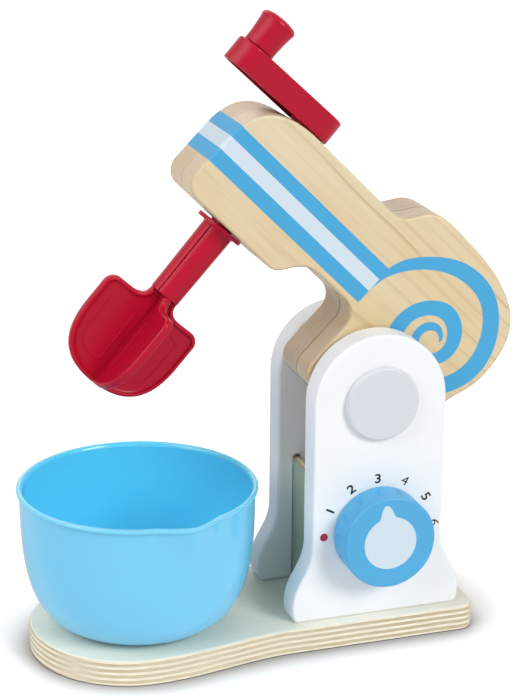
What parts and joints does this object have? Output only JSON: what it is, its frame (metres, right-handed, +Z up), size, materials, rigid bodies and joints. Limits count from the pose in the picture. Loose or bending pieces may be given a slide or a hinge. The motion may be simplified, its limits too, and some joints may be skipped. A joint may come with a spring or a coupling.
{
  "type": "toy stand mixer",
  "caption": "Wooden toy stand mixer with a tilting pine head, a hand crank that turns the beater, a clicking dial and a loose bowl on a plywood base.",
  "frame": {"origin": "on the base board's underside, straight below the head's pivot", "axes": "+Z up, -X towards the bowl end, the dial faces -Y"},
  "size_m": [0.2429, 0.1198, 0.3083],
  "materials": {
    "pine": "clear-lacquered pine, satin",
    "sage_ply": "birch plywood, faces painted pale sage, edges bare",
    "white_painted_wood": "white paint, satin",
    "blue_painted_wood": "light blue paint, satin",
    "beech_dowel": "bare beech",
    "red_plastic": "moulded, semi-gloss",
    "blue_plastic": "moulded, satin gloss",
    "cap_plastic": "moulded, satin",
    "click_plastic": "natural nylon",
    "fibre": "pressed fibre",
    "zinc_steel": "zinc-plated"
  },
  "bodies": {
    "stand": {"base_board": "sage_ply", "dial_side_upright": "white_painted_wood", "far_side_upright": "white_painted_wood", "front_panel": "sage_ply", "rear_panel": "sage_ply", "stop_dowel": "beech_dowel", "pivot_bolt": "zinc_steel", "pivot_nut": "zinc_steel", "dial_side_bolt_washer": "zinc_steel", "far_side_bolt_washer": "zinc_steel", "dial_side_friction_washer": "fibre", "far_side_friction_washer": "fibre", "dial_side_pivot_cap": "cap_plastic", "far_side_pivot_cap": "cap_plastic", "base_screw_1": "zinc_steel", "base_screw_2": "zinc_steel", "base_screw_3": "zinc_steel", "base_screw_4": "zinc_steel", "click_spring": "click_plastic", "dial_washer": "zinc_steel"},
    "head": {"dial_side_head_board": "pine", "far_side_head_board": "pine"},
    "crank": {"beater_shaft": "red_plastic", "beater_blades": "red_plastic", "crank_arm": "red_plastic", "crank_screw": "zinc_steel", "knob_pin": "red_plastic"},
    "knob": {"crank_knob": "red_plastic"},
    "dial_set": {"dial": "blue_painted_wood", "click_wheel": "click_plastic", "dial_screw": "zinc_steel"},
    "bowl_body": {"bowl": "blue_plastic"}
  },
  "joints": [
    {"name": "head_tilt", "type": "hinge", "parent": "stand", "child": "head", "pos_m": [0, 0, 0.1227], "axis": [0, -1, 0], "range_deg": [0, 45]},
    {"name": "crank_spin", "type": "hinge", "parent": "head", "child": "crank", "pos_m": [-0.04967, 0, 0.22887], "axis": [0.6652, 0, 0.7466], "continuous": true},
    {"name": "knob_spin", "type": "hinge", "parent": "crank", "child": "knob", "pos_m": [-0.05578, -0.01099, 0.29087], "axis": [0.6652, 0, 0.7466], "continuous": true},
    {"name": "dial_turn", "type": "hinge", "parent": "stand", "child": "dial_set", "pos_m": [0, -0.0412, 0.0568], "axis": [0, -1, 0], "continuous": true},
    {"name": "bowl_lift", "type": "slide", "parent": "stand", "child": "bowl_body", "axis": [0, 0, 1], "range_m": [0, 0.02]}
  ]
}
